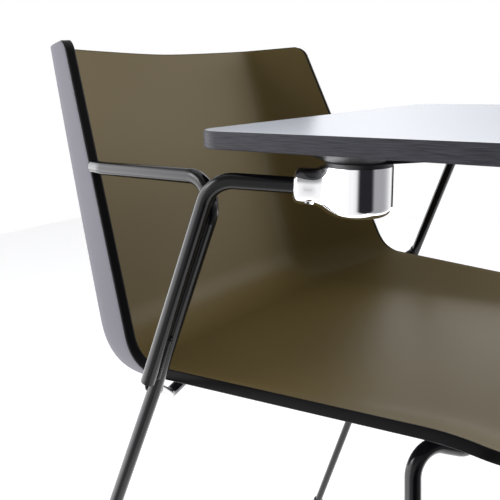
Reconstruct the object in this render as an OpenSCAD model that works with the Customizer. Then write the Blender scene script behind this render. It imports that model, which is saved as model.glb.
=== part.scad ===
// Student chair with a bent shell seat, a steel rod frame and a swivelling writing tablet.
// Millimetres, +Z up, front of the chair towards -Y, the sitter's right towards -X.
// The origin is on the floor under the middle of the chair's bounding box.

/* [Shell] */
// Width of the shell at the lower back corners
shell_w = 449; // [430:1:460]
// Width of the seat at its front edge
seat_front_w = 355; // [330:1:380]
// Width of the back at its upper corners
back_top_w = 367; // [340:1:390]
// Height of the seat's raised side edges above the floor
side_edge_h = 499; // [495:1:503]
// Height of the seat surface at the middle of the front edge
seat_front_h = 482; // [479:1:485]
// Height of the fold between seat and back, at the middle
fold_h = 455; // [452:1:458]
// Height of the top edge of the back at its middle
back_h = 752; // [730:1:775]
// How much higher the back's upper corners stand than its middle
back_corner_rise = 6; // [0:1:14]
// Thickness of the dark core
core_t = 7.1; // [6:0.1:8]
// Thickness of each face laminate
laminate_t = 0.8; // [0.5:0.1:1.2]

/* [Frame] */
// Diameter of the rod in the rear legs, cross rod, rails and tablet arm
rod_d = 11; // [10:0.5:12]
// Diameter of the rod in the front frame
front_rod_d = 12; // [11:0.5:13]
// Distance between the rear feet, centre to centre
rear_foot_span = 604; // [580:1:620]
// Distance between the front feet, centre to centre
front_foot_span = 474; // [440:1:500]
// Height of the armrests, to the rod's centre
arm_h = 660; // [650:1:670]

/* [Tablet] */
// Width of the tablet, across the sitter
tablet_w = 380; // [340:5:400]
// Depth of the tablet, away from the sitter
tablet_depth = 270; // [240:5:290]
// Thickness of the tablet's core
tablet_core_t = 10.4; // [8:0.1:11]
// Radius of the tablet's corners
tablet_corner_r = 24; // [15:1:40]
// Height of the tablet's writing surface
tablet_h = 691.8; // [689:0.1:695]

/* [Swivel] */
// Outer diameter of the hub's barrel
hub_d = 43; // [41:1:46]
// Height of the hub's barrel
barrel_h = 32; // [30:1:34]
// Outer diameter of the hub's arm socket
socket_d = 24; // [22:1:26]
// How far the tablet swings aside, in degrees
swing = 105; // [80:1:110]

/* [Hidden] */
$fn = 48;

// ---- shell: two edges and a centre line, each a straight, a fold curve and a straight
shell_t = core_t + 2 * laminate_t;
front_y = -295;                  // the shell's own y is zero at its lower back corners
fold_y = 108;
back_top_y = 174;
corner_top_y = 103;
centre_fold = 45;                // length of the fold curve's tangents on the centre line
edge_fold = 24;                  // and along the edges
front_corner_r = 38;
back_corner_r = 12;
back_corner_x = 5;               // the same corner across the chair, as the side panels stand steeply
crease_seat = 0.755;             // where the side panels bend up, as a part of the half width
crease_top = 0.84;
crease_soft = 0.07;
corner_lift = 3;                 // of the corners' rise, the part that comes from the bent sides
camber_soft = 0.2;               // how round the top edge is at its middle
front_lip = 12;                  // how far the front edge rolls down
lip_part = 0.24;                 // the part of the seat that rolls
centre_front = [front_y, seat_front_h];
centre_vertex = [fold_y, fold_h];
centre_top = [back_top_y, back_h];
edge_front = [seat_front_w / 2, front_y, side_edge_h - 2];
edge_vertex = [shell_w / 2, 0, side_edge_h];
edge_top = [back_top_w / 2, corner_top_y, back_h + corner_lift];

function mix(a, b, t) = a + (b - a) * t;
function unit(v) = v / norm(v);
function toward(a, b, d) = a + unit(b - a) * d;
function curve(a, v, b, t) = mix(mix(a, v, t), mix(v, b, t), t);
function track(a, v, b, fold, s) =
    s < 1 ? mix(a, toward(v, a, fold), s) :
    s < 2 ? curve(toward(v, a, fold), v, toward(v, b, fold), s - 1) :
    mix(toward(v, b, fold), b, s - 2);
seat_run = norm(centre_vertex - centre_front) - centre_fold;
back_run = norm(centre_top - centre_vertex) - centre_fold;
function lip(s) = front_lip * pow(max(0, 1 - s / lip_part), 2);
function crease(s) = s < 2 ? crease_seat : mix(crease_seat, crease_top, s - 2);
// Even function of u: flat up to the crease, then rising at a steady slope
function bend(u, c) = sqrt(pow(u - c, 2) + pow(crease_soft, 2))
    + sqrt(pow(u + c, 2) + pow(crease_soft, 2)) - 2 * sqrt(pow(c, 2) + pow(crease_soft, 2));
function rise(u, s) = bend(u, crease(s)) / bend(1, crease(s));
function centre_at(s) = track(centre_front, centre_vertex, centre_top, centre_fold, s);
function edge_at(s) = track(edge_front, edge_vertex, edge_top, edge_fold, s);
// The back's height grows from its middle to its corners, more and more towards the top
function soft(u) = sqrt(u * u + camber_soft * camber_soft) - camber_soft;
function camber(u, s) = back_corner_rise * max(0, s - 2) * soft(u) / soft(1);
function skin(s, x) =
    let (c = centre_at(s), e = edge_at(s), u = abs(x) / e[0], k = rise(u, s))
    [x, mix(c[0], e[1], k), mix(c[1], e[2], k) - lip(s) + camber(u, s)];
function outward(s, x) =
    let (d = 0.01, s0 = max(0, s - d), s1 = min(3, s + d))
    -unit(cross(skin(s, x + d) - skin(s, x - d), skin(s1, x) - skin(s0, x)));
function rounded(r, across, d) = d >= r ? 0 : across - across * sqrt(max(0, 1 - pow((r - d) / r, 2)));
function half_width(s) = edge_at(s)[0] - max(rounded(front_corner_r, front_corner_r, s * seat_run),
    rounded(back_corner_r, back_corner_x, (3 - s) * back_run));
corner_steps = [0, 0.0761, 0.2929, 0.6173, 1];    // 1 - cos of equal steps of a quarter turn
stations = [
    for (k = corner_steps) k * front_corner_r / seat_run,
    for (s = [0.17, lip_part, 0.3, 0.5, 0.7, 0.9]) s,
    for (s = [1 : 0.2 : 2]) s,
    for (s = [2.2 : 0.2 : 2.8]) s,
    for (i = [4 : -1 : 0]) 3 - corner_steps[i] * back_corner_r / back_run
];
half_columns = [0.35, 0.6, 0.7, 0.77, 0.83, 0.9, 1];
columns = [for (i = [6 : -1 : 0]) -half_columns[i], 0, for (u = half_columns) u];
rows_n = len(stations);
cols_n = len(columns);
layer_n = rows_n * cols_n;
function layer_points(depth) = [
    for (s = stations) for (t = columns)
        let (x = t * half_width(s)) skin(s, x) + outward(s, x) * depth
];
function quad(a, b, c, d) = [[a, b, c], [a, c, d]];
layer_faces = [
    for (i = [0 : rows_n - 2]) for (j = [0 : cols_n - 2])
        let (a = i * cols_n + j, b = a + 1, c = b + cols_n, d = a + cols_n)
        for (f = concat(quad(a, d, c, b), quad(a + layer_n, b + layer_n, c + layer_n, d + layer_n))) f,
    for (i = [0 : rows_n - 2])
        let (a = i * cols_n, d = a + cols_n, b = a + cols_n - 1, c = b + cols_n)
        for (f = concat(quad(a, a + layer_n, d + layer_n, d), quad(b, c, c + layer_n, b + layer_n))) f,
    for (j = [0 : cols_n - 2])
        let (a = j, b = j + 1, d = (rows_n - 1) * cols_n + j, c = d + 1)
        for (f = concat(quad(a, b, b + layer_n, a + layer_n), quad(d, d + layer_n, c + layer_n, c))) f
];

// ---- seat fixings, in frames that stand on the seat's slope
seat_slope = atan2(seat_front_h - fold_h, fold_y - front_y);
fix_x = 90;
fix_ys = [-190, 10];
pad_t = 3;
tab_t = 3;
tab_size = [34, 24];
rail_x = fix_x + 15;
rail_drop = shell_t + pad_t + tab_t + rod_d / 2 + 0.05;
screw_r = 2.05;
insert_r = 3.5;
insert_depth = 6;
insert_bore_r = 2.1;
function seat_z(y) = mix(seat_front_h, fold_h, (y - front_y) / (fold_y - front_y));

// ---- frame
frame_y = 80.5;                  // carries the shell's own y to the chair's frame
rear_foot = [rear_foot_span / 2, 152.7, 0];
knee = [243.6, -32.7, 490];
arm_bend = [230, -97.6, arm_h];
arm_turn_in = [211, 45, arm_h - 4.5];
arm_end = [204.4, 63.6, arm_h - 5];
knee_r = 60;
arm_bend_r = 22;
arm_turn_r = 24;
cross_start = [241.3, -31, 493];
cross_drop = [168, 28, 439];
cross_inner = [112, 45, 439];
cross_r = 22;
front_foot = [front_foot_span / 2, -265.7, 0];
front_knee = [171.8, -216.3, 475];
front_run = [130, -240, 455];
front_r = 20;
rod_end = 5;                     // rods stop this far above the floor, inside their glides
stud_r = 2.5;
stud_in_rod = 14;
stud_in_shell = 13;
weld_gap = 0.05;
bend_slim = 0.04;                // a bend is this much thinner than its runs, and starts inside them
bend_lap = 0.6;
function mirrored(p) = [-p[0], p[1], p[2]];

// ---- glides
glide_r = 7.8;
glide_h = 12;
fit_gap = 0.05;

// ---- hub and swivel, around a vertical axis
hub_axis = [-197.2, -183.4];
tablet_under = tablet_h - tablet_core_t - 2 * laminate_t;
flange_h = 6.8;                  // height of the flange from the collar to the tablet
flange_low_r = 20.7;
flange_cone_r = 36;
flange_reach = [34, -30];        // how far the flange's tongue is carried inward and forward
flange_tip_r = 32;
flange_slope = 2.3;              // how the tongue thins towards its tip, in degrees
flange_seat_t = 3;               // what is left of the flange under each screw's head
collar_t = 2.8;
barrel_top = tablet_under - flange_h - collar_t;
barrel_low = barrel_top - barrel_h;
barrel_edge_r = 7;
arm_top_bend = [-241.2, -97.2, 661];
arm_top_r = 22;
arm_stop = 15;                   // how far above the knee the tablet arm stops
socket_z = barrel_top - 15.6;
socket_len = 41.5;
socket_round = 4;
arm_insert = 23;                 // depth of the arm in its socket
bush_r = 13;
bush_bore_r = 8.06;
spindle_r = 8;
bush_len = 9;
lower_bush_len = 5;
lower_bush_drop = 16.4;          // from the barrel's top to the lower bush's foot
spindle_low = barrel_low + 8;
groove_h = 5;
groove_r = 6.5;
groove_z = barrel_low + 10;
screw_m5_r = 2.5;
stop_r = 1.5;
stop_orbit = 17.6;
stop_angle = 200;                // where the stop pin stands in the hub's rim
stop_half_angle = 5;             // half the pin's width, seen from the axis
stop_groove_h = 3;
stop_gap = 2.5;                  // extra travel of the stop groove at each end, in degrees
tablet_left = -235;
tablet_back = -73.5;
tablet_insert_r = 4;
tablet_insert_len = 7;
flange_screw_r = 2.2;
flange_screw_orbit = 24;
flange_screw_head_r = 3.9;
flange_screw_head_h = 1.8;
flange_screw_angles = [-151, -76, -6, 69];
hub_to_arm = unit([arm_top_bend[0], arm_top_bend[1]] - hub_axis);
arm_slope = (arm_top_bend[2] - socket_z) / norm([arm_top_bend[0], arm_top_bend[1]] - hub_axis);
socket_dir = unit([hub_to_arm[0], hub_to_arm[1], arm_slope]);
set_screw_back = 11;             // from the socket's open end
set_screw_hint = [-0.75, -0.48, -1];
set_screw_dir = unit(set_screw_hint - socket_dir * (set_screw_hint * socket_dir));
hub_centre = [hub_axis[0], hub_axis[1], socket_z];
arm_socket_end = hub_centre + socket_dir * (socket_len - arm_insert);
leg_lean = unit(arm_bend - knee);
arm_gap = 0.6;                   // between the arm and the leg that it is welded to
arm_shift = [-(rod_d + arm_gap) / sqrt(1 - pow(leg_lean[0], 2)), 0, 0];
arm_bottom = mirrored(knee) + mirrored(leg_lean) * arm_stop + arm_shift;

// ---- placing tools
module in_chair() translate([0, frame_y, 0]) children();
// Stands its children at p with their z along d and their x as near x_hint as it can be
module stand(p, d, x_hint = [1, 0.1, 0.05]) {
    z = unit(d);
    x = unit(x_hint - z * (x_hint * z));
    y = cross(z, x);
    multmatrix([[x[0], y[0], z[0], p[0]], [x[1], y[1], z[1], p[1]],
        [x[2], y[2], z[2], p[2]], [0, 0, 0, 1]]) children();
}
function turn(a, v, b) = acos(unit(v - a) * unit(b - v));
function setback(p, r, i) = i == 0 || i == len(p) - 1 ? 0 :
    r[i - 1] * tan(turn(p[i - 1], p[i], p[i + 1]) / 2);
// A round rod along straight runs, with an arc of radius r[i] at each inner point
module bent_rod(p, r, d) {
    for (i = [0 : len(p) - 2]) {
        a = toward(p[i], p[i + 1], setback(p, r, i));
        b = toward(p[i + 1], p[i], setback(p, r, i + 1));
        stand(a, b - a) cylinder(h = norm(b - a), d = d);
    }
    for (i = [1 : len(p) - 2]) {
        into = unit(p[i] - p[i - 1]);
        out = unit(p[i + 1] - p[i]);
        angle = turn(p[i - 1], p[i], p[i + 1]);
        middle = p[i] + unit(out - into) * (r[i - 1] / cos(angle / 2));
        start = p[i] - into * setback(p, r, i);
        lap = bend_lap / r[i - 1] * 180 / PI;
        stand(middle, cross(into, out), start - middle) rotate([0, 0, -lap])
            rotate_extrude(angle = angle + 2 * lap, $fn = 96) translate([r[i - 1], 0])
                circle(d = d - bend_slim);
    }
}
module on_seat(x, y) translate([x, y, seat_z(y)]) rotate([-seat_slope, 0, 0]) children();
module at_seat_fixings() for (sx = [-1, 1]) for (y = fix_ys) on_seat(sx * fix_x, y) children();
module on_hub(z = 0, angle = 0) translate([hub_axis[0], hub_axis[1], z]) rotate([0, 0, angle]) children();
module ring(r_out, r_in, h) difference() {
    cylinder(h = h, r = r_out);
    translate([0, 0, -1]) cylinder(h = h + 2, r = r_in);
}

// ---- shell
module shell_layer(from, to)
    polyhedron(points = concat(layer_points(from), layer_points(to)), faces = layer_faces, convexity = 6);
module seat_holes() at_seat_fixings() translate([0, 0, -shell_t - 2])
    cylinder(h = 2 + insert_depth, r = insert_r);
// The armrests' ends and their studs enter the front edges of the back
module arm_sockets() for (side = [0, 1]) mirror([side, 0, 0]) stand(arm_end, arm_end - arm_turn_in) {
    cylinder(h = stud_in_shell, r = stud_r);
    translate([0, 0, -rod_d]) cylinder(h = rod_d, d = rod_d + 2 * weld_gap);
}
module shell_core() color("#17171b") in_chair() difference() {
    shell_layer(laminate_t, laminate_t + core_t);
    seat_holes();
    arm_sockets();
}
module shell_inner_laminate() color("#6b5f41") in_chair() difference() {
    shell_layer(0, laminate_t);
    arm_sockets();
}
module shell_outer_laminate() color("#b3b1ba") in_chair() difference() {
    shell_layer(laminate_t + core_t, shell_t);
    seat_holes();
    arm_sockets();
}

// ---- frame
module leg_rod() difference() {
    bent_rod([rear_foot + unit(knee - rear_foot) * rod_end, knee, arm_bend, arm_turn_in, arm_end],
        [knee_r, arm_bend_r, arm_turn_r], rod_d);
    stand(arm_end, arm_turn_in - arm_end) translate([0, 0, -1]) cylinder(h = stud_in_rod + 1, r = stud_r);
}
module left_leg_rod() color("#1b1b1f") in_chair() leg_rod();
module right_leg_rod() color("#1b1b1f") in_chair() mirror([1, 0, 0]) leg_rod();
module rear_cross_rod() color("#1b1b1f") in_chair() difference() {
    bent_rod([mirrored(cross_start), mirrored(cross_drop), mirrored(cross_inner), cross_inner, cross_drop, cross_start],
        [cross_r, cross_r, cross_r, cross_r], rod_d);
    for (side = [0, 1]) mirror([side, 0, 0])
        stand(rear_foot, knee - rear_foot) cylinder(h = 2 * knee[2], d = rod_d + 2 * weld_gap);
}
module front_frame_rod() color("#1b1b1f") in_chair() {
    foot = front_foot + unit(front_knee - front_foot) * rod_end;
    bent_rod([mirrored(foot), mirrored(front_knee), mirrored(front_run), front_run, front_knee, foot],
        [front_r, front_r, front_r, front_r], front_rod_d);
}
module seat_rail(side) {
    y0 = front_run[1] + front_rod_d / 2 + 4 * weld_gap;
    y1 = cross_inner[1] - rod_d / 2;
    a = [side * rail_x, y0, seat_z(y0) - rail_drop];
    b = [side * rail_x, y1, seat_z(y1) - rail_drop];
    stand(a, b - a) cylinder(h = norm(b - a), d = rod_d);
}
module right_seat_rail() color("#1b1b1f") in_chair() seat_rail(-1);
module left_seat_rail() color("#1b1b1f") in_chair() seat_rail(1);
module seat_tabs() color("#202024") in_chair() for (sx = [-1, 1]) for (y = fix_ys) on_seat(sx * fix_x, y)
    translate([0, 0, -shell_t - pad_t - tab_t]) difference() {
        translate([sx * (tab_size[0] / 2 - 12), 0, tab_t / 2]) cube([tab_size[0], tab_size[1], tab_t], center = true);
        translate([0, 0, -1]) cylinder(h = tab_t + 2, r = screw_m5_r + 0.2);
    }
module seat_pads() color("#26262a") in_chair() at_seat_fixings()
    translate([0, 0, -shell_t - pad_t]) ring(11, screw_m5_r + 0.4, pad_t);
module seat_screws() color("#8d8f94") in_chair() at_seat_fixings()
    translate([0, 0, -shell_t - pad_t - tab_t - 3]) difference() {
        union() {
            cylinder(h = 3, r = 4.7);
            cylinder(h = 3 + tab_t + pad_t + insert_depth - 0.6, r = screw_r);
        }
        translate([0, 0, -1]) cylinder(h = 2.8, r = 1.7, $fn = 6);
    }
module seat_inserts() color("#b08d3e") in_chair() at_seat_fixings()
    translate([0, 0, -shell_t]) ring(insert_r, insert_bore_r, insert_depth);
module arm_studs() color("#8d8f94") in_chair() for (side = [0, 1]) mirror([side, 0, 0])
    stand(arm_end, arm_end - arm_turn_in) translate([0, 0, -stud_in_rod])
        cylinder(h = stud_in_rod + stud_in_shell, r = stud_r);

// ---- glides: moulded caps on the rod ends, ground flat on the floor
module glide(foot, upper, d) {
    along = unit(upper - foot);
    difference() {
        stand(foot, along) translate([0, 0, -glide_r]) cylinder(h = glide_h + glide_r, r = glide_r);
        stand(foot, along) translate([0, 0, rod_end]) cylinder(h = glide_h, d = d + 2 * fit_gap);
        translate([foot[0], foot[1], -2 * glide_r]) cube(4 * glide_r, center = true);
    }
}
module rear_left_glide() color("#1d1d20") in_chair() glide(rear_foot, knee, rod_d);
module rear_right_glide() color("#1d1d20") in_chair() mirror([1, 0, 0]) glide(rear_foot, knee, rod_d);
module front_left_glide() color("#1d1d20") in_chair() glide(front_foot, front_knee, front_rod_d);
module front_right_glide() color("#1d1d20") in_chair() mirror([1, 0, 0])
    glide(front_foot, front_knee, front_rod_d);

// ---- tablet arm and hub
module tablet_arm_rod() color("#1b1b1f") in_chair()
    bent_rod([arm_bottom, arm_top_bend, arm_socket_end], [arm_top_r], rod_d);
module hub_body() {
    on_hub(barrel_low) rotate_extrude($fn = 96) {
        translate([0, barrel_edge_r]) square([hub_d / 2, barrel_h - barrel_edge_r]);
        square([hub_d / 2 - barrel_edge_r, barrel_h]);
        intersection() {
            translate([hub_d / 2 - barrel_edge_r, barrel_edge_r]) circle(r = barrel_edge_r, $fn = 48);
            square([hub_d, barrel_h]);
        }
    }
    stand(hub_centre, socket_dir) {
        cylinder(h = socket_len - socket_round, d = socket_d);
        translate([0, 0, socket_len - socket_round]) rotate_extrude($fn = 96) {
            square([socket_d / 2 - socket_round, socket_round]);
            intersection() {
                translate([socket_d / 2 - socket_round, 0]) circle(r = socket_round, $fn = 48);
                square([socket_d, socket_round]);
            }
        }
    }
}
module set_screw_frame() stand(hub_centre + socket_dir * (socket_len - set_screw_back), set_screw_dir)
    children();
module hub_casting() color("#c9cbd0") in_chair() difference() {
    hub_body();
    stand(arm_socket_end, socket_dir) cylinder(h = arm_insert + 1, d = rod_d + 2 * fit_gap);
    on_hub(barrel_low + 4) cylinder(h = barrel_h, r = bush_r);
    set_screw_frame() cylinder(h = socket_d, r = screw_m5_r);
    on_hub(groove_z + groove_h / 2) rotate([0, 90, 35]) cylinder(h = hub_d, r = screw_m5_r);
    on_hub(barrel_top - 6, stop_angle) translate([stop_orbit, 0, 0]) cylinder(h = 7, r = stop_r);
}
module grub(len) difference() {
    cylinder(h = len, r = screw_m5_r - 0.02);
    translate([0, 0, len - 2.5]) cylinder(h = 3, r = 1.45, $fn = 6);
}
module arm_set_screw() color("#2a2a2e") in_chair() set_screw_frame() translate([0, 0, rod_d / 2 + 0.1]) grub(5);
module retaining_screw() color("#2a2a2e") in_chair() on_hub(groove_z + groove_h / 2)
    rotate([0, 90, 35]) translate([0, 0, groove_r + 0.3]) grub(12);
module swivel_stop_pin() color("#9a9ca1") in_chair() on_hub(barrel_top - 5.9, stop_angle)
    translate([stop_orbit, 0, 0]) cylinder(h = 5.9 + collar_t + 2, r = stop_r - 0.02);
module upper_bush() color("#222226") in_chair() on_hub() difference() {
    union() {
        translate([0, 0, barrel_top]) cylinder(h = collar_t, d = hub_d - 0.6);
        translate([0, 0, barrel_top - bush_len]) cylinder(h = bush_len + 0.5, r = bush_r - fit_gap);
    }
    translate([0, 0, barrel_low]) cylinder(h = barrel_h + 10, r = bush_bore_r);
    rotate([0, 0, stop_angle]) translate([stop_orbit, 0, barrel_top - 1])
        cylinder(h = collar_t + 2, r = stop_r + 0.15);
}
module lower_bush() color("#d8d4c8") in_chair() on_hub(barrel_top - lower_bush_drop)
    ring(bush_r - fit_gap, bush_bore_r, lower_bush_len);
module spring_washers() color("#7c7e84") in_chair() for (k = [0 : 2])
    on_hub(barrel_low + 4.1 + k * 1.25) ring(bush_r - 1.5 - 0.2 * k, 5.2, 1.1);
module pivot_spindle() color("#9a9ca1") in_chair() on_hub() difference() {
    translate([0, 0, spindle_low]) cylinder(h = tablet_under - 1.5 - spindle_low, r = spindle_r);
    translate([0, 0, groove_z]) ring(spindle_r + 1, groove_r, groove_h);
}
module at_flange_screws() on_hub() translate(flange_reach) for (a = flange_screw_angles)
    rotate([0, 0, a]) translate([flange_screw_orbit, 0, 0]) children();
module tongue() difference() {
    linear_extrude(height = flange_h) hull() {
        circle(r = flange_low_r, $fn = 64);
        translate(flange_reach) circle(r = flange_tip_r, $fn = 64);
    }
    rotate([0, 0, atan2(flange_reach[1], flange_reach[0])]) rotate([0, -flange_slope, 0])
        translate([0, 0, -2 * flange_h]) cube([8 * flange_tip_r, 4 * flange_tip_r, 4 * flange_h], center = true);
}
module flange_plate() color("#1c1c20") in_chair() difference() {
    on_hub(tablet_under - flange_h) {
        tongue();
        cylinder(h = flange_h, r1 = flange_low_r, r2 = flange_cone_r);
    }
    on_hub(tablet_under - flange_h - 1) cylinder(h = flange_h - 0.5, r = spindle_r + fit_gap);
    on_hub(tablet_under - flange_h - 1, stop_angle - stop_gap - stop_half_angle)
        rotate_extrude(angle = swing + 2 * (stop_gap + stop_half_angle))
            translate([stop_orbit - stop_r - 0.4, 0]) square([2 * stop_r + 0.8, stop_groove_h + 1]);
    at_flange_screws() {
        translate([0, 0, tablet_under - flange_h - 1]) cylinder(h = flange_h + 2, r = flange_screw_r + 0.2);
        translate([0, 0, tablet_under - 2 * flange_h]) cylinder(h = 2 * flange_h - flange_seat_t,
            r = flange_screw_head_r + 0.4);
    }
}
module flange_screws() color("#8d8f94") in_chair() at_flange_screws()
    translate([0, 0, tablet_under - flange_seat_t - flange_screw_head_h]) difference() {
        union() {
            cylinder(h = flange_screw_head_h, r = flange_screw_head_r);
            cylinder(h = flange_screw_head_h + flange_seat_t + tablet_insert_len - 0.8, r = flange_screw_r);
        }
        translate([0, 0, -1]) cylinder(h = 2.3, r = 1.4, $fn = 6);
    }
module tablet_inserts() color("#b08d3e") in_chair() at_flange_screws()
    translate([0, 0, tablet_under]) ring(tablet_insert_r, flange_screw_r + fit_gap, tablet_insert_len);
module tablet_sheet(z, t) translate([tablet_left, tablet_back - tablet_depth, z]) {
    r = tablet_corner_r;
    for (x = [r, tablet_w - r]) for (y = [r, tablet_depth - r])
        translate([x, y, 0]) cylinder(h = t, r = r);
    translate([r, 0, 0]) cube([tablet_w - 2 * r, tablet_depth, t]);
    translate([0, r, 0]) cube([tablet_w, tablet_depth - 2 * r, t]);
}
module tablet_insert_holes() at_flange_screws() translate([0, 0, tablet_under - 1])
    cylinder(h = tablet_insert_len + 1, r = tablet_insert_r);
module tablet_core() color("#2b2b31") in_chair() difference() {
    tablet_sheet(tablet_under + laminate_t, tablet_core_t);
    tablet_insert_holes();
}
module tablet_top_laminate() color("#dfe3ec") in_chair() tablet_sheet(tablet_h - laminate_t, laminate_t);
module tablet_bottom_laminate() color("#1d1d21") in_chair() difference() {
    tablet_sheet(tablet_under, laminate_t);
    tablet_insert_holes();
}

shell_core();
shell_inner_laminate();
shell_outer_laminate();
right_leg_rod();
left_leg_rod();
rear_cross_rod();
front_frame_rod();
right_seat_rail();
left_seat_rail();
seat_tabs();
seat_pads();
seat_screws();
seat_inserts();
arm_studs();
rear_right_glide();
rear_left_glide();
front_right_glide();
front_left_glide();
tablet_arm_rod();
hub_casting();
arm_set_screw();
retaining_screw();
swivel_stop_pin();
upper_bush();
lower_bush();
spring_washers();
pivot_spindle();
flange_plate();
flange_screws();
tablet_inserts();
tablet_core();
tablet_top_laminate();
tablet_bottom_laminate();
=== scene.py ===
import math

import bmesh
import bpy
import numpy as np
from mathutils import Matrix


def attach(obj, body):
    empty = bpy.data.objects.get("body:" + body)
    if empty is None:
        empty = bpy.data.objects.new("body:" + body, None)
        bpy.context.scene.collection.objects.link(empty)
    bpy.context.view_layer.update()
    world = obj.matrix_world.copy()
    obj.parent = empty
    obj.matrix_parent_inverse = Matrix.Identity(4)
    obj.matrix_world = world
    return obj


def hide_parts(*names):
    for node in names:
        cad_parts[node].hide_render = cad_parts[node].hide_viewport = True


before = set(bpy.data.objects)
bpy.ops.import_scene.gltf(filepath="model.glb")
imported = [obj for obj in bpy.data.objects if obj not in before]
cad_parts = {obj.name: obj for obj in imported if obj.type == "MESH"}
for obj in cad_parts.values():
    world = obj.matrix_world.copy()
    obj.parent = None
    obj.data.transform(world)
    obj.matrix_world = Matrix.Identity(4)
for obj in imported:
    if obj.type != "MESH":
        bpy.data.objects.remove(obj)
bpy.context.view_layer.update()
scene = bpy.context.scene

# ---- Gloss black rods: legs, cross rod, front frame, seat rails and tablet arm. Solid steel rod,
# bent cold and welded, then powder coated after welding, so that one skin of paint covers all.


def rgb(text):
    """Linear colour of an sRGB hex value."""
    v = np.array([int(text[i:i + 2], 16) for i in (1, 3, 5)]) / 255
    return (*np.where(v <= 0.04045, v / 12.92, ((v + 0.055) / 1.055) ** 2.4).tolist(), 1.0)


def node(tree, kind, settings=None, links=None):
    """Adds a shader node, sets its attributes or input values, and links inputs to other outputs."""
    made = tree.nodes.new(kind)
    for key, value in (settings or {}).items():
        if hasattr(made, key):
            setattr(made, key, value)
        else:
            made.inputs[key].default_value = value
    for key, source in (links or {}).items():
        tree.links.new(source, made.inputs[key])
    return made


def material(name, colour, rough, metal=0.0, specular=0.5, **extra):
    """A principled material, with the tree and its shader for patterns to be linked into."""
    made = bpy.data.materials.new(name)
    made.use_nodes = True
    made.node_tree.nodes.clear()
    shader = node(made.node_tree, "ShaderNodeBsdfPrincipled",
                  {"Base Color": rgb(colour), "Roughness": rough, "Metallic": metal,
                   "Specular IOR Level": specular, **extra})
    node(made.node_tree, "ShaderNodeOutputMaterial", {}, {"Surface": shader.outputs[0]})
    return made, made.node_tree, shader


def grain(tree, shader, period_mm, depth_mm, strength, stretch=(1, 1, 1)):
    """Fine bumps of the given spacing and height, in object space."""
    place = node(tree, "ShaderNodeTexCoord")
    scaled = node(tree, "ShaderNodeMapping", {"Scale": stretch}, {"Vector": place.outputs["Object"]})
    noise = node(tree, "ShaderNodeTexNoise", {"Scale": 1000 / period_mm, "Detail": 3.0},
                 {"Vector": scaled.outputs[0]})
    bump = node(tree, "ShaderNodeBump", {"Strength": strength, "Distance": depth_mm / 1000},
                {"Height": noise.outputs["Fac"]})
    tree.links.new(bump.outputs[0], shader.inputs["Normal"])
    return noise


def paint(names, made):
    """Gives the named CAD nodes one material."""
    for name in names:
        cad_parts[name].data.materials.clear()
        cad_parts[name].data.materials.append(made)


# gloss black powder coat: IOR of polyester resin, a slight orange peel of 2 mm
black_coat, tree, shader = material("gloss_black_coat", "#0f0f12", 0.16, specular=0.28, IOR=1.5)
grain(tree, shader, 2.2, 0.02, 0.12)
RODS = ["right_leg_rod", "left_leg_rod", "rear_cross_rod", "front_frame_rod",
        "right_seat_rail", "left_seat_rail", "tablet_arm_rod", "seat_tabs"]
paint(RODS, black_coat)

# ---- The shell: a pressed board of dark impregnated paper, 8.7 mm thick, with a satin olive
# laminate inside and a pale grey one outside, bent in a mould and sawn to its outline.
MM = 0.001
FRAME_Y = 80.5
SEAT_FRONT, FOLD, BACK_TOP = (-295, 482), (108, 455), (174, 752)
FOLD_RUN = 45
SEAT_SIDE, BACK_SIDE = 0.755, 0.84


def track(a, v, b, fold, s):
    """A straight from a, a quadratic curve around v that starts fold from it, and a straight to b."""
    a, v, b = (np.asarray(p, float) for p in (a, v, b))
    p, q = v + (a - v) * fold / np.linalg.norm(a - v), v + (b - v) * fold / np.linalg.norm(b - v)
    s = np.asarray(s, float)[..., None]
    t = np.clip(s - 1, 0, 1)
    turn = (1 - t) ** 2 * p + 2 * t * (1 - t) * v + t * t * q
    return np.where(s < 1, a + (p - a) * s, np.where(s < 2, turn, q + (b - q) * (s - 2)))


def centre_line(s):
    """(y, z) of the shell's middle: seat, fold and back."""
    return track(SEAT_FRONT, FOLD, BACK_TOP, FOLD_RUN, s)


def side_line(s):
    """(x, y, z) of the shell's left edge: seat side, lower corner and the back's front edge."""
    return track((177.5, -295, 497), (224.5, 0, 499), (183.5, 103, 755), 24, s)


def side_bend(u, c):
    """Flat up to the crease c, then rising at a steady slope, with a soft corner."""
    w = 0.07
    return np.hypot(u - c, w) + np.hypot(u + c, w) - 2 * np.hypot(c, w)


def skin(s, x):
    """Inner face: from the middle line to the side lines by the side bend, with a rolled front."""
    s, x = np.broadcast_arrays(np.asarray(s, float), np.asarray(x, float))
    mid, side = centre_line(s), side_line(s)
    crease = SEAT_SIDE + (BACK_SIDE - SEAT_SIDE) * np.clip(s - 2, 0, 1)
    u = np.abs(x) / side[..., 0]
    k = side_bend(u, crease) / side_bend(1, crease)
    lip = 12 * np.clip(1 - s / 0.24, 0, None) ** 2
    camber = 6 * np.clip(s - 2, 0, None) * (np.hypot(u, 0.2) - 0.2) / (np.hypot(1, 0.2) - 0.2)
    y = mid[..., 0] + (side[..., 1] - mid[..., 0]) * k
    z = mid[..., 1] + (side[..., 2] - mid[..., 1]) * k - lip + camber
    return np.stack([x, y, z], -1)


def outward(s, x):
    """Unit normal of the inner face, pointing through the board to its outer face."""
    d = 0.004
    across = skin(s, x + 4 * d) - skin(s, x - 4 * d)
    along = skin(np.clip(s + d, 0, 3), x) - skin(np.clip(s - d, 0, 3), x)
    n = -np.cross(across, along)
    return n / np.linalg.norm(n, axis=-1, keepdims=True)


SEAT_RUN = math.dist(SEAT_FRONT, FOLD) - FOLD_RUN
BACK_RUN = math.dist(FOLD, BACK_TOP) - FOLD_RUN


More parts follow.
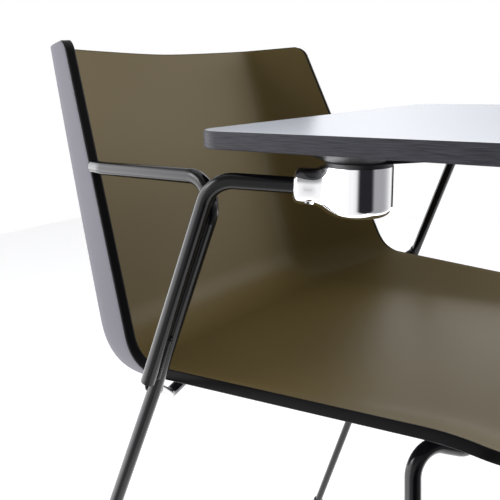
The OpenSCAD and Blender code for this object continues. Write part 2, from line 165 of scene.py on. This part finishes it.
def half_width(s):
    """Half of the board's width at s, with round corners of 38 mm in front and 12 mm on top."""
    def rounded(r, across, d):
        return np.where(d >= r, 0, across - across * np.sqrt(np.clip(1 - ((r - d) / r) ** 2, 0, None)))
    cut = np.maximum(rounded(38, 38, s * SEAT_RUN), rounded(12, 5, (3 - s) * BACK_RUN))
    return side_line(s)[..., 0] - cut


def surface(name, patches, materials, marks=None, sharp=35):
    """A welded mesh of grids: each patch holds rows and columns of points, and marks its material."""
    points, faces, slots, base = [], [], [], 0
    for i, p in enumerate(patches):
        rows, cols = p.shape[:2]
        k = base + np.arange(rows * cols).reshape(rows, cols)
        faces.append(np.stack([k[:-1, :-1], k[:-1, 1:], k[1:, 1:], k[1:, :-1]], -1).reshape(-1, 4))
        slots.append(np.full(len(faces[-1]), marks[i] if marks else 0))
        points.append(p.reshape(-1, 3) * MM)
        base += rows * cols
    mesh = bpy.data.meshes.new(name)
    mesh.from_pydata(np.concatenate(points).tolist(), [], np.concatenate(faces).tolist())
    mesh.polygons.foreach_set("material_index", np.concatenate(slots).astype(np.int32))
    work = bmesh.new()
    work.from_mesh(mesh)
    bmesh.ops.remove_doubles(work, verts=work.verts, dist=2e-6)
    bmesh.ops.dissolve_degenerate(work, dist=1e-7, edges=work.edges)
    bmesh.ops.recalc_face_normals(work, faces=work.faces)
    work.to_mesh(mesh)
    work.free()
    mesh.polygons.foreach_set("use_smooth", np.ones(len(mesh.polygons), bool))
    mesh.set_sharp_from_angle(angle=math.radians(sharp))
    for m in materials:
        mesh.materials.append(m)
    made = bpy.data.objects.new(name, mesh)
    scene.collection.objects.link(made)
    return made


def spread(start, stop, count, heart, width):
    """Steps from start to stop that lie closer together near each heart."""
    t = np.linspace(start, stop, 4001)
    density = 1 + sum(3 * np.exp(-((t - h) / width) ** 2) for h in heart)
    total = np.concatenate([[0], np.cumsum((density[1:] + density[:-1]) / 2)])
    return np.interp(np.linspace(0, total[-1], count), total, t)


SHELL_S = spread(0, 3, 130, (0, 1.5, 3), 0.12)
SHELL_U = spread(-1, 1, 121, (-0.82, 0.82), 0.1)


def board(depths, insets):
    """Patches of one layer: the inner face moved along its normal by each depth, each with its inset."""
    grids = []
    for depth, inset in zip(depths, insets):
        s = np.clip(SHELL_S, inset / SEAT_RUN, 3 - inset / BACK_RUN)[:, None]
        x = SHELL_U[None, :] * (half_width(s[:, 0]) - inset)[:, None]
        p = skin(s, x) + outward(s, x) * depth
        grids.append(p + [0, FRAME_Y, 0])
    stack = np.array(grids)
    return [stack[0], stack[-1], stack[:, :, 0], stack[:, :, -1], stack[:, 0], stack[:, -1]]


# dark phenolic core: its sawn edge is nearly black, with a fine grain
dark_core, tree, shader = material("dark_core_edge", "#0b0b0d", 0.5, specular=0.12, IOR=1.5)
grain(tree, shader, 1.1, 0.05, 0.25)
# olive melamine laminate, satin: a wide, weak highlight and a texture of half a millimetre
olive, tree, shader = material("olive_laminate", "#695a34", 0.45, specular=0.25, IOR=1.5)
grain(tree, shader, 0.7, 0.02, 0.22)
# pale grey laminate outside, smoother
pale_grey, tree, shader = material("pale_grey_laminate", "#6c6a74", 0.5, specular=0.05, IOR=1.5)
grain(tree, shader, 0.9, 0.015, 0.12)
inner = surface("shell_inside", board((0, 0.25, 0.8), (0.9, 0.4, 0.2)), [olive, dark_core], [0, 0, 1, 1, 1, 1])
core = surface("shell_middle", board((0.8, 1.4, 4.3, 7.3, 7.9), (0.2, 0, 0, 0, 0.2)), [dark_core])
outer = surface("shell_outside", board((7.9, 8.45, 8.7), (0.2, 0.4, 0.9)), [pale_grey, dark_core],
                [0, 0, 1, 1, 1, 1])
for piece, cad, slot in ((inner, "shell_inner_laminate", "shell_inner"), (core, "shell_core", "shell_core"),
                         (outer, "shell_outer_laminate", "shell_outer")):
    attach(piece, "chair")
    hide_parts(cad)

# ---- The hub: one aluminium casting, barrel and socket run together with a soft fillet, then
# polished. The tablet's arm is locked in its socket by a set screw from below.
HUB = np.array([-197.2, -183.4 + FRAME_Y, 654.6])
BARREL_LOW, BARREL_TOP = 638.2, 670.2
ARM_TOP = np.array([-241.2, -97.2 + FRAME_Y, 661])


def unit(v):
    """The vectors along the last axis, at length one."""
    v = np.asarray(v, float)
    return v / np.linalg.norm(v, axis=-1, keepdims=True)


SOCKET = unit(ARM_TOP - HUB)


def round_post(p, start, axis, length, radius, edge):
    """Signed distance to a cylinder with round edges, from start along axis."""
    q = p - start
    h = q @ axis
    r = np.linalg.norm(q - h[..., None] * axis, axis=-1)
    a, b = r - radius + edge, np.abs(h - length / 2) - length / 2 + edge
    return np.minimum(np.maximum(a, b), 0) + np.hypot(np.maximum(a, 0), np.maximum(b, 0)) - edge


def hub_distance(p):
    """Barrel and socket, joined with a fillet by the polynomial smooth minimum."""
    up = np.array([0, 0, 1.0])
    barrel = round_post(p, np.array([HUB[0], HUB[1], BARREL_LOW]), up, BARREL_TOP - BARREL_LOW + 7, 21.5, 7)
    socket = round_post(p, HUB, SOCKET, 41.5, 12, 4)
    k = 9.0
    h = np.clip(0.5 + 0.5 * (socket - barrel) / k, 0, 1)
    return socket + (barrel - socket) * h - k * h * (1 - h)


def hub_skin():
    """From the barrel's middle, each direction's distance to the surface, found by halving."""
    a = np.linspace(0, math.pi, 121)[:, None]
    b = np.linspace(0, 2 * math.pi, 241)[None, :]
    d = np.stack([np.sin(a) * np.cos(b), np.sin(a) * np.sin(b), np.cos(a) + 0 * b], -1)
    near, far = np.zeros(d.shape[:2]), np.full(d.shape[:2], 60.0)
    for _ in range(30):
        middle = (near + far) / 2
        inside = hub_distance(HUB + d * middle[..., None]) < 0
        near, far = np.where(inside, middle, near), np.where(inside, far, middle)
    p = HUB + d * near[..., None]
    p[:, -1] = p[:, 0]
    p[..., 2] = np.minimum(p[..., 2], BARREL_TOP)
    return p


def basis(axis):
    """Two unit vectors square to the axis and to each other."""
    axis = unit(axis)
    a = unit(np.cross(axis, [0.3, 1, 0.2]))
    return a, np.cross(axis, a)


def turned(start, axis, profile):
    """Surface of revolution about axis: each row a circle at a (height, radius) of the profile."""
    e, f = basis(axis)
    t = np.linspace(0, 2 * math.pi, 49)[:, None]
    return np.stack([start + axis * h + r * (np.cos(t) * e + np.sin(t) * f) for h, r in profile])


# polished aluminium, with the faint waviness of hand polishing
polished, tree, shader = material("polished_aluminium", "#f2f2f4", 0.07, 1.0)
grain(tree, shader, 9.0, 0.03, 0.15)
hub = surface("hub_body", [hub_skin()], [polished], sharp=50)
# the set screw's mouth, countersunk, with the screw at its bottom
hint = np.array([-0.75, -0.48, -1.0])
mouth = turned(HUB + SOCKET * 30.5, unit(hint - SOCKET * (hint @ SOCKET)),
               ((10.62, 0), (10.62, 2.5), (11.3, 2.5), (12.4, 3.5), (16, 3.5), (16, 0)))
cutter = surface("cutter", [mouth], [polished])
cut = hub.modifiers.new("mouth", "BOOLEAN")
cut.object, cut.operation, cut.solver = cutter, "DIFFERENCE", "EXACT"
bpy.context.view_layer.update()
hub.data = bpy.data.meshes.new_from_object(hub.evaluated_get(bpy.context.evaluated_depsgraph_get()))
hub.modifiers.clear()
bpy.data.objects.remove(cutter)
hub.data.set_sharp_from_angle(angle=math.radians(40))
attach(hub, "chair")
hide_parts("hub_casting")

# black oxide socket screws
black_oxide, tree, shader = material("black_oxide", "#1c1c1f", 0.35, 0.6)
paint(["arm_set_screw", "retaining_screw"], black_oxide)
# moulded black nylon for the upper bush, acetal for the hidden lower one
nylon, tree, shader = material("black_nylon", "#16161a", 0.42, IOR=1.53)
grain(tree, shader, 0.6, 0.01, 0.3)
paint(["upper_bush"], nylon)
acetal, tree, shader = material("acetal", "#d3cfc4", 0.4, IOR=1.48)
paint(["lower_bush"], acetal)
# zinc plated steel: studs, screws, washers, pin and spindle
zinc, tree, shader = material("zinc_plate", "#b4b6ba", 0.3, 1.0)
paint(["arm_studs", "seat_screws", "spring_washers", "swivel_stop_pin", "pivot_spindle", "flange_screws"], zinc)
brass, tree, shader = material("turned_brass", "#c9a552", 0.3, 1.0)
paint(["seat_inserts", "tablet_inserts"], brass)
rubber, tree, shader = material("black_rubber", "#1b1b1d", 0.7, IOR=1.52)
paint(["seat_pads"], rubber)
# the flange is cast, and coated satin black
satin_black, tree, shader = material("satin_black_coat", "#0e0e10", 0.4, specular=0.12, IOR=1.5)
grain(tree, shader, 1.4, 0.02, 0.2)
paint(["flange_plate"], satin_black)

# ---- The tablet: a pressed board like the shell, flat, 12 mm thick, with a pale writing laminate
# above and a black backing below. Its sawn edge is eased at the top and at the bottom.
TABLET = np.array([-235, -343.5 + FRAME_Y, 145, -73.5 + FRAME_Y])
TABLET_R = 24
TABLET_ZS = (679.8, 680.6, 691.0, 691.8)


def outline(inset):
    """The tablet's outline: four straights joined by quarter turns, moved inwards by inset."""
    x0, y0, x1, y1 = TABLET + [inset, inset, -inset, -inset]
    r = TABLET_R - inset
    turn = np.linspace(0, math.pi / 2, 13)
    corners = [(x1 - r, y1 - r, 0), (x0 + r, y1 - r, 1), (x0 + r, y0 + r, 2), (x1 - r, y0 + r, 3)]
    path = np.concatenate([np.stack([cx + r * np.cos(turn + k * math.pi / 2),
                                     cy + r * np.sin(turn + k * math.pi / 2)], -1) for cx, cy, k in corners])
    return np.concatenate([path, path[:1]])


def slab(name, steps, materials, marks):
    """A flat solid: the outline at each (height, inset) step, closed above and below to its middle."""
    middle = (TABLET[:2] + TABLET[2:]) / 2
    rings = [np.column_stack([outline(i), np.full(len(outline(0)), z)]) for z, i in steps]
    low, high = rings[0].copy(), rings[-1].copy()
    def lid(ring):
        return np.array([ring * [k, k, 1] + [*(middle * (1 - k)), 0] for k in (1, 0.985, 0.6, 0.25, 0)])
    return surface(name, [lid(low), np.array(rings), lid(high)], materials, marks, 30)


# pale writing laminate, bluish white and satin
writing, tree, shader = material("writing_laminate", "#b9c1d1", 0.22, IOR=1.5)
grain(tree, shader, 0.8, 0.015, 0.12)
# sawn edge of the tablet: dark grey, with fine streaks along it from the saw
sawn, tree, shader = material("sawn_edge", "#34343a", 0.45, specular=0.15, IOR=1.5)
streaks = grain(tree, shader, 1.0, 0.06, 0.35, (0.06, 0.06, 1.6))
shade = node(tree, "ShaderNodeValToRGB", {}, {"Fac": streaks.outputs["Fac"]})
shade.color_ramp.elements[0].position, shade.color_ramp.elements[0].color = 0.35, rgb("#2a2a2f")
shade.color_ramp.elements[1].position, shade.color_ramp.elements[1].color = 0.65, rgb("#43434a")
tree.links.new(shade.outputs[0], shader.inputs["Base Color"])
backing, tree, shader = material("black_backing", "#1b1b1e", 0.4, IOR=1.5)
T0, T1, T2, T3 = TABLET_ZS
for name, steps, kinds, marks, cad, slot in (
        ("tablet_top", [(T2, 0.1), (T2 + 0.45, 0.25), (T3 - 0.1, 0.6), (T3, 1.1)], [writing, sawn], [0, 1, 0],
         "tablet_top_laminate", "tablet_top"),
        ("tablet_middle", [(T1, 0.1), (T1 + 0.5, 0), (T2 - 0.5, 0), (T2, 0.1)], [sawn], [0, 0, 0],
         "tablet_core", "tablet_core"),
        ("tablet_bottom", [(T0, 1.0), (T0 + 0.15, 0.6), (T1, 0.1)], [backing, sawn], [0, 1, 0],
         "tablet_bottom_laminate", "tablet_backing")):
    piece = slab(name, steps, kinds, marks)
    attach(piece, "tablet")
    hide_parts(cad)

# ---- Glides: moulded caps pushed over the rods' ends, ground flat where they stand, with an
# eased foot and a round shoulder around the rod.
LEG_ROD_R, FRONT_ROD_R = 5.5, 6
REAR_FOOT, KNEE = np.array([302, 152.7, 0]), np.array([243.6, -32.7, 490])
FRONT_FOOT, FRONT_KNEE = np.array([237, -265.7, 0]), np.array([171.8, -216.3, 475])
GLIDE_R, GLIDE_SHOULDER, SHOULDER_R = 7.8, 10.4, 1.6
glide_plastic, tree, shader = material("glide_plastic", "#1a1a1d", 0.45, IOR=1.5)
grain(tree, shader, 0.8, 0.02, 0.3)


def cap(foot, upper, rod_r):
    """Rings around the rod's line: on the floor, then up the wall to the shoulder."""
    axis = unit(upper - foot)
    a, b = basis(axis)
    t = np.linspace(0, 2 * math.pi, 65)[:, None]
    rim = np.cos(t) * a + np.sin(t) * b
    def at(r, z=None, h=None):
        p = foot + rim * r
        lift = (z - p[:, 2:]) / axis[2] if h is None else h
        return p + axis * lift
    rings = [at(0, z=0.0), at(4, z=0.0), at(7.2, z=0.0), at(7.6, z=0.15), at(GLIDE_R, z=0.6),
             at(GLIDE_R, h=6), at(GLIDE_R, h=GLIDE_SHOULDER)]
    rings += [at(GLIDE_R - SHOULDER_R + SHOULDER_R * math.cos(k), h=GLIDE_SHOULDER + SHOULDER_R * math.sin(k))
              for k in np.linspace(0.2, math.pi / 2, 7)]
    top = GLIDE_SHOULDER + SHOULDER_R - 0.2
    rings += [at(rod_r - 0.6, h=top), at(0, h=top)]
    return np.array(rings)


for cad, foot, upper, rod_r in (("rear_{}_glide", REAR_FOOT, KNEE, LEG_ROD_R),
                                ("front_{}_glide", FRONT_FOOT, FRONT_KNEE, FRONT_ROD_R)):
    for side, sign in (("left", 1), ("right", -1)):
        name = cad.format(side)
        low, high = (p * [sign, 1, 1] + [0, FRAME_Y, 0] for p in (foot, upper))
        piece = surface(name.replace("glide", "cap"), [cap(low, high, rod_r)], [glide_plastic], sharp=30)
        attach(piece, "chair")
        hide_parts(name)

# ---- Welds: small fillets of weld metal where rods meet, made before the coating and covered by
# it. Each is a rippled bead along the line where the two surfaces come together.


def bead(path, radius, ripple_mm=1.6):
    """A round bead along the path, its radius rising and falling a little with each ripple."""
    along = unit(np.gradient(path, axis=0))
    side = unit(np.cross(along, [0.21, 0.34, 0.92]))
    up = np.cross(along, side)
    run = np.concatenate([[0], np.cumsum(np.linalg.norm(np.diff(path, axis=0), axis=1))])
    r = radius * (1 + 0.08 * np.sin(run * 2 * math.pi / ripple_mm))
    r = r * np.clip(np.minimum(run, run[-1] - run) / radius + 0.25, 0, 1)
    t = np.linspace(0, 2 * math.pi, 17)
    ring = np.cos(t)[None, :, None] * side[:, None] + np.sin(t)[None, :, None] * up[:, None]
    body = path[:, None] + ring * r[:, None, None]
    body[:, -1] = body[:, 0]
    start, stop = np.repeat(path[:1], 17, 0), np.repeat(path[-1:], 17, 0)
    return np.concatenate([start[None], body, stop[None]])


def saddle(a, axis_a, r_a, b, axis_b, r_b):
    """The line around rod a where its surface meets the surface of rod b."""
    axis_a, axis_b = unit(axis_a), unit(axis_b)
    e, f = basis(axis_a)
    t = np.linspace(0, 2 * math.pi, 97)[:, None]
    p = a + r_a * (np.cos(t) * e + np.sin(t) * f)
    q, w = p - b, axis_a
    q, w = q - (q @ axis_b)[:, None] * axis_b, w - (w @ axis_b) * axis_b
    k2, k1, k0 = w @ w, q @ w, (q * q).sum(1) - (r_b + 0.3) ** 2
    lift = (-k1 + np.sqrt(np.clip(k1 * k1 - k2 * k0, 0, None))) / k2
    return p + axis_a * lift[:, None]


CROSS_START, CROSS_DROP = np.array([241.3, -31, 493]), np.array([168, 28, 439])
LEAN = unit(np.array([230, -97.6, 660]) - KNEE)
beads = []
for sign in (1, -1):
    flip = np.array([sign, 1, 1])
    ring = saddle(CROSS_START, CROSS_DROP - CROSS_START, LEG_ROD_R + 0.1, KNEE, KNEE - REAR_FOOT, LEG_ROD_R)
    beads.append(bead(ring * flip, 1.5))
# the valleys before and behind the two rods, whose centres lie 11.6 mm apart
offset = np.array([-1, 0, 0]) * (5.8 / math.sqrt(1 - LEAN[0] ** 2))
for face in (-1, 1):
    valley = unit(np.cross(LEAN, [1, 0, 0])) * face * 3.6
    steps = np.linspace(17, 56, 40)[:, None]
    line = KNEE * [-1, 1, 1] + offset + valley + LEAN * [-1, 1, 1] * steps
    beads.append(bead(line, 1.9))
welds = surface("weld_beads", [b + [0, FRAME_Y, 0] for b in beads], [black_coat], sharp=80)
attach(welds, "chair")

# ---- Floor, light and camera: a pale floor that glows a little, white surroundings and large soft
# lights. The floor ends close to the chair on two sides, so that the rods don't mirror it.
FLOOR_X, FLOOR_Y = (-0.55, 2.6), (-0.8, 2.6)
floor_mesh = bpy.data.meshes.new("floor")
corners = [(FLOOR_X[i], FLOOR_Y[j], 0) for i, j in ((0, 0), (1, 0), (1, 1), (0, 1))]
floor_mesh.from_pydata(corners, [], [(0, 1, 2, 3)])
floor = bpy.data.objects.new("floor", floor_mesh)
scene.collection.objects.link(floor)
pale, tree, shader = material("pale_floor", "#f6f6f7", 0.6, **{"Emission Color": rgb("#ffffff")})
shine = node(tree, "ShaderNodeMapRange", {"To Min": 0.3, "To Max": 1.4},
             {"Value": node(tree, "ShaderNodeLightPath").outputs["Is Glossy Ray"]})
tree.links.new(shine.outputs[0], shader.inputs["Emission Strength"])
floor_mesh.materials.append(pale)

# white studio walls and a grey roof, a glow to one side and a dark gap on the side left open
world = bpy.data.worlds.new("studio")
scene.world = world
world.use_nodes = True
sky = world.node_tree
sky.nodes.clear()
toward = node(sky, "ShaderNodeTexCoord").outputs["Generated"]


def patch(direction, start, stop):
    """1 where the view direction is near the given one, fading to 0 between the two cosines."""
    aim = node(sky, "ShaderNodeVectorMath", {"operation": "DOT_PRODUCT"}, {0: toward})
    aim.inputs[1].default_value = direction
    fade = {"interpolation_type": "SMOOTHSTEP", "From Min": start, "From Max": stop}
    return node(sky, "ShaderNodeMapRange", fade, {"Value": aim.outputs["Value"]}).outputs[0]


def tinted(colour, part, tint):
    """The colour, turned to tint where part is 1."""
    mix = node(sky, "ShaderNodeMix", {"data_type": "RGBA"}, {0: part, 6: colour})
    mix.inputs[7].default_value = tint
    return mix.outputs[2]


walls = node(sky, "ShaderNodeRGB")
walls.outputs[0].default_value = (1.06, 1.06, 1.06, 1.0)
with_roof = tinted(walls.outputs[0], patch((0.0, 0.0, 1.0), 0.25, 0.7), (0.38, 0.38, 0.39, 1))
with_glow = tinted(with_roof, patch((0.95, 0.15, 0.25), 0.86, 0.98), (2.2, 2.2, 2.2, 1))
rays = node(sky, "ShaderNodeLightPath").outputs
gloss = rays["Is Glossy Ray"]
dull = node(sky, "ShaderNodeMapRange", {"To Min": 1.0, "To Max": 0.0}, {"Value": gloss}).outputs[0]


def only(part, flag):
    """The part, for one kind of ray."""
    return node(sky, "ShaderNodeMath", {"operation": "MULTIPLY"}, {0: part, 1: flag}).outputs[0]


DARK = (0.02, 0.02, 0.024, 1)
with_gap = tinted(with_glow, only(patch((-0.80, -0.60, -0.10), 0.62, 0.88), dull), DARK)
# glossy faces see a grey flag to the right and two dark ones instead, and a bright strip to the left
with_flank = tinted(with_gap, only(patch((-0.10, -0.98, -0.15), 0.20, 0.90), gloss), (0.38, 0.38, 0.40, 1))
with_slot = tinted(with_flank, only(patch((-0.60, -0.76, -0.24), 0.84, 0.95), gloss), DARK)
with_edge = tinted(with_slot, only(patch((0.93, 0.20, -0.30), 0.85, 0.96), gloss), DARK)
with_strip = tinted(with_edge, only(patch((-0.46, 0.88, -0.10), 0.55, 0.90), gloss), (4.5, 4.5, 4.6, 1))
with_backdrop = tinted(with_strip, rays["Is Camera Ray"], (1.0, 1.0, 1.0, 1))
light = node(sky, "ShaderNodeBackground", {"Strength": 1.0}, {"Color": with_backdrop})
node(sky, "ShaderNodeOutputWorld", {}, {"Surface": light.outputs[0]})


def softbox(name, place, aim, size, power):
    """A square area light at place that faces aim."""
    data = bpy.data.lights.new(name, "AREA")
    data.shape, data.size, data.energy = "SQUARE", size, power
    light = bpy.data.objects.new(name, data)
    back = unit(np.subtract(place, aim))
    a, b = basis(back)
    rows = [[*row, p] for row, p in zip(np.stack([a, b, back], 1), place)]
    light.matrix_world = Matrix(rows + [[0, 0, 0, 1]])
    scene.collection.objects.link(light)


softbox("key", (2.0, -2.3, 1.5), (0, 0, 0.5), 1.6, 33)
softbox("top", (0.6, 0.6, 3.2), (0, 0, 0.5), 2.4, 11)
softbox("rim", (-1.5, 1.5, 1.9), (0, 0, 0.6), 0.9, 16)

lens = bpy.data.cameras.new("camera")
lens.lens, lens.sensor_width, lens.clip_start = 48.56, 36, 0.02
camera = bpy.data.objects.new("camera", lens)
right, down = (0.60268, -0.79768, -0.02195), (-0.21398, -0.13504, -0.96746)
view = (0.76876, 0.58776, -0.25207)
camera.matrix_world = Matrix([[r, -d, -v, p] for r, d, v, p in
                              zip(right, down, view, (-0.5790, -0.3061, 0.7277))] + [[0, 0, 0, 1]])
scene.collection.objects.link(camera)
scene.camera = camera
scene.view_settings.view_transform = "Standard"
